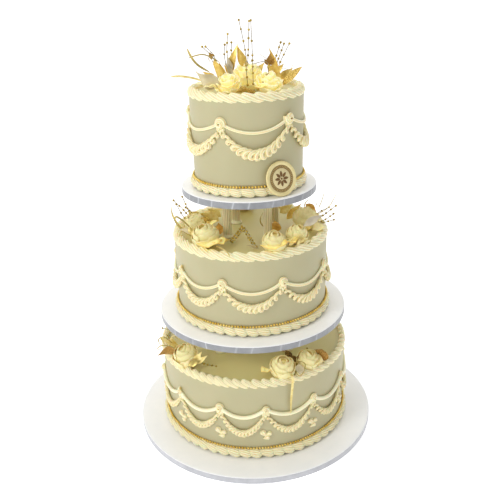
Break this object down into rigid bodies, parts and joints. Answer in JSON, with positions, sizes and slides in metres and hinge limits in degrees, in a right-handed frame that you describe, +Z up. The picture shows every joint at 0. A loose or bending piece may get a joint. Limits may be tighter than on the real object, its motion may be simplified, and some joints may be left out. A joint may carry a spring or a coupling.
{
  "type": "tiered wedding cake",
  "caption": "Round tiered wedding cake on drum boards with pillars between the tiers, piped drapes, shell borders and sugar roses with gold leaves.",
  "frame": {"origin": "centre of the bottom board's underside", "axes": "+Z up; -Y is the front, where the plaque is"},
  "size_m": [0.4064, 0.4064, 0.6631],
  "materials": {
    "icing": "smooth ivory fondant icing, satin",
    "piping": "piped ivory buttercream, satin",
    "gold_beads": "gold dragees, shiny",
    "board_cover": "white foil-covered drum board, semi-gloss",
    "pillar": "ivory fluted plastic",
    "petal": "matt ivory sugar petals",
    "gold_leaf": "matt gold foil",
    "champagne_leaf": "champagne satin with a sheen",
    "bronze_leaf": "bronze glitter",
    "gold_wire": "fine wire with gold beads",
    "plaque": "pale gold sugar disc with a plain printed rosette"
  },
  "bodies": {
    "root": {"base_border_bottom": "piping", "base_border_middle": "piping", "base_border_top": "piping", "bead_trim_bottom": "gold_beads", "bead_trim_middle": "gold_beads", "bead_trim_top": "gold_beads", "board_bottom": "board_cover", "board_middle": "board_cover", "board_top": "board_cover", "cake_bottom": "icing", "cake_middle": "icing", "cake_top": "icing", "drape_string_bottom": "piping", "drape_string_middle": "piping", "drape_string_top": "piping", "garland_bottom": "piping", "garland_middle": "piping", "garland_top": "piping", "leaf_bottom_left": "bronze_leaf", "leaf_bottom_right": "bronze_leaf", "leaf_middle_inner": "bronze_leaf", "leaf_middle_left": "champagne_leaf", "leaf_middle_right": "champagne_leaf", "leaf_top_back_left": "gold_leaf", "leaf_top_back_right": "gold_leaf", "leaf_top_front_left": "champagne_leaf", "leaf_top_left": "gold_leaf", "leaf_top_right": "gold_leaf", "pillar_lower_1": "pillar", "pillar_lower_2": "pillar", "pillar_lower_3": "pillar", "pillar_lower_4": "pillar", "pillar_upper_1": "pillar", "pillar_upper_2": "pillar", "pillar_upper_3": "pillar", "pillar_upper_4": "pillar", "plaque": "plaque", "rose_bottom_back": "petal", "rose_bottom_left": "petal", "rose_bottom_right": "petal", "rose_bottom_right_front": "petal", "rose_middle_back": "petal", "rose_middle_left_back": "petal", "rose_middle_left_front": "petal", "rose_middle_right": "petal", "rose_middle_right_back": "petal", "rose_middle_right_front": "petal", "rose_top_back": "petal", "rose_top_centre": "petal", "rose_top_left": "petal", "rose_top_right": "petal", "spray_bottom_left": "gold_wire", "spray_middle_left": "gold_wire", "spray_middle_right": "gold_wire", "spray_top_centre": "gold_wire", "spray_top_left": "gold_wire", "spray_top_right": "gold_wire", "top_border_bottom": "piping", "top_border_middle": "piping", "top_border_top": "piping"}
  },
  "joints": []
}
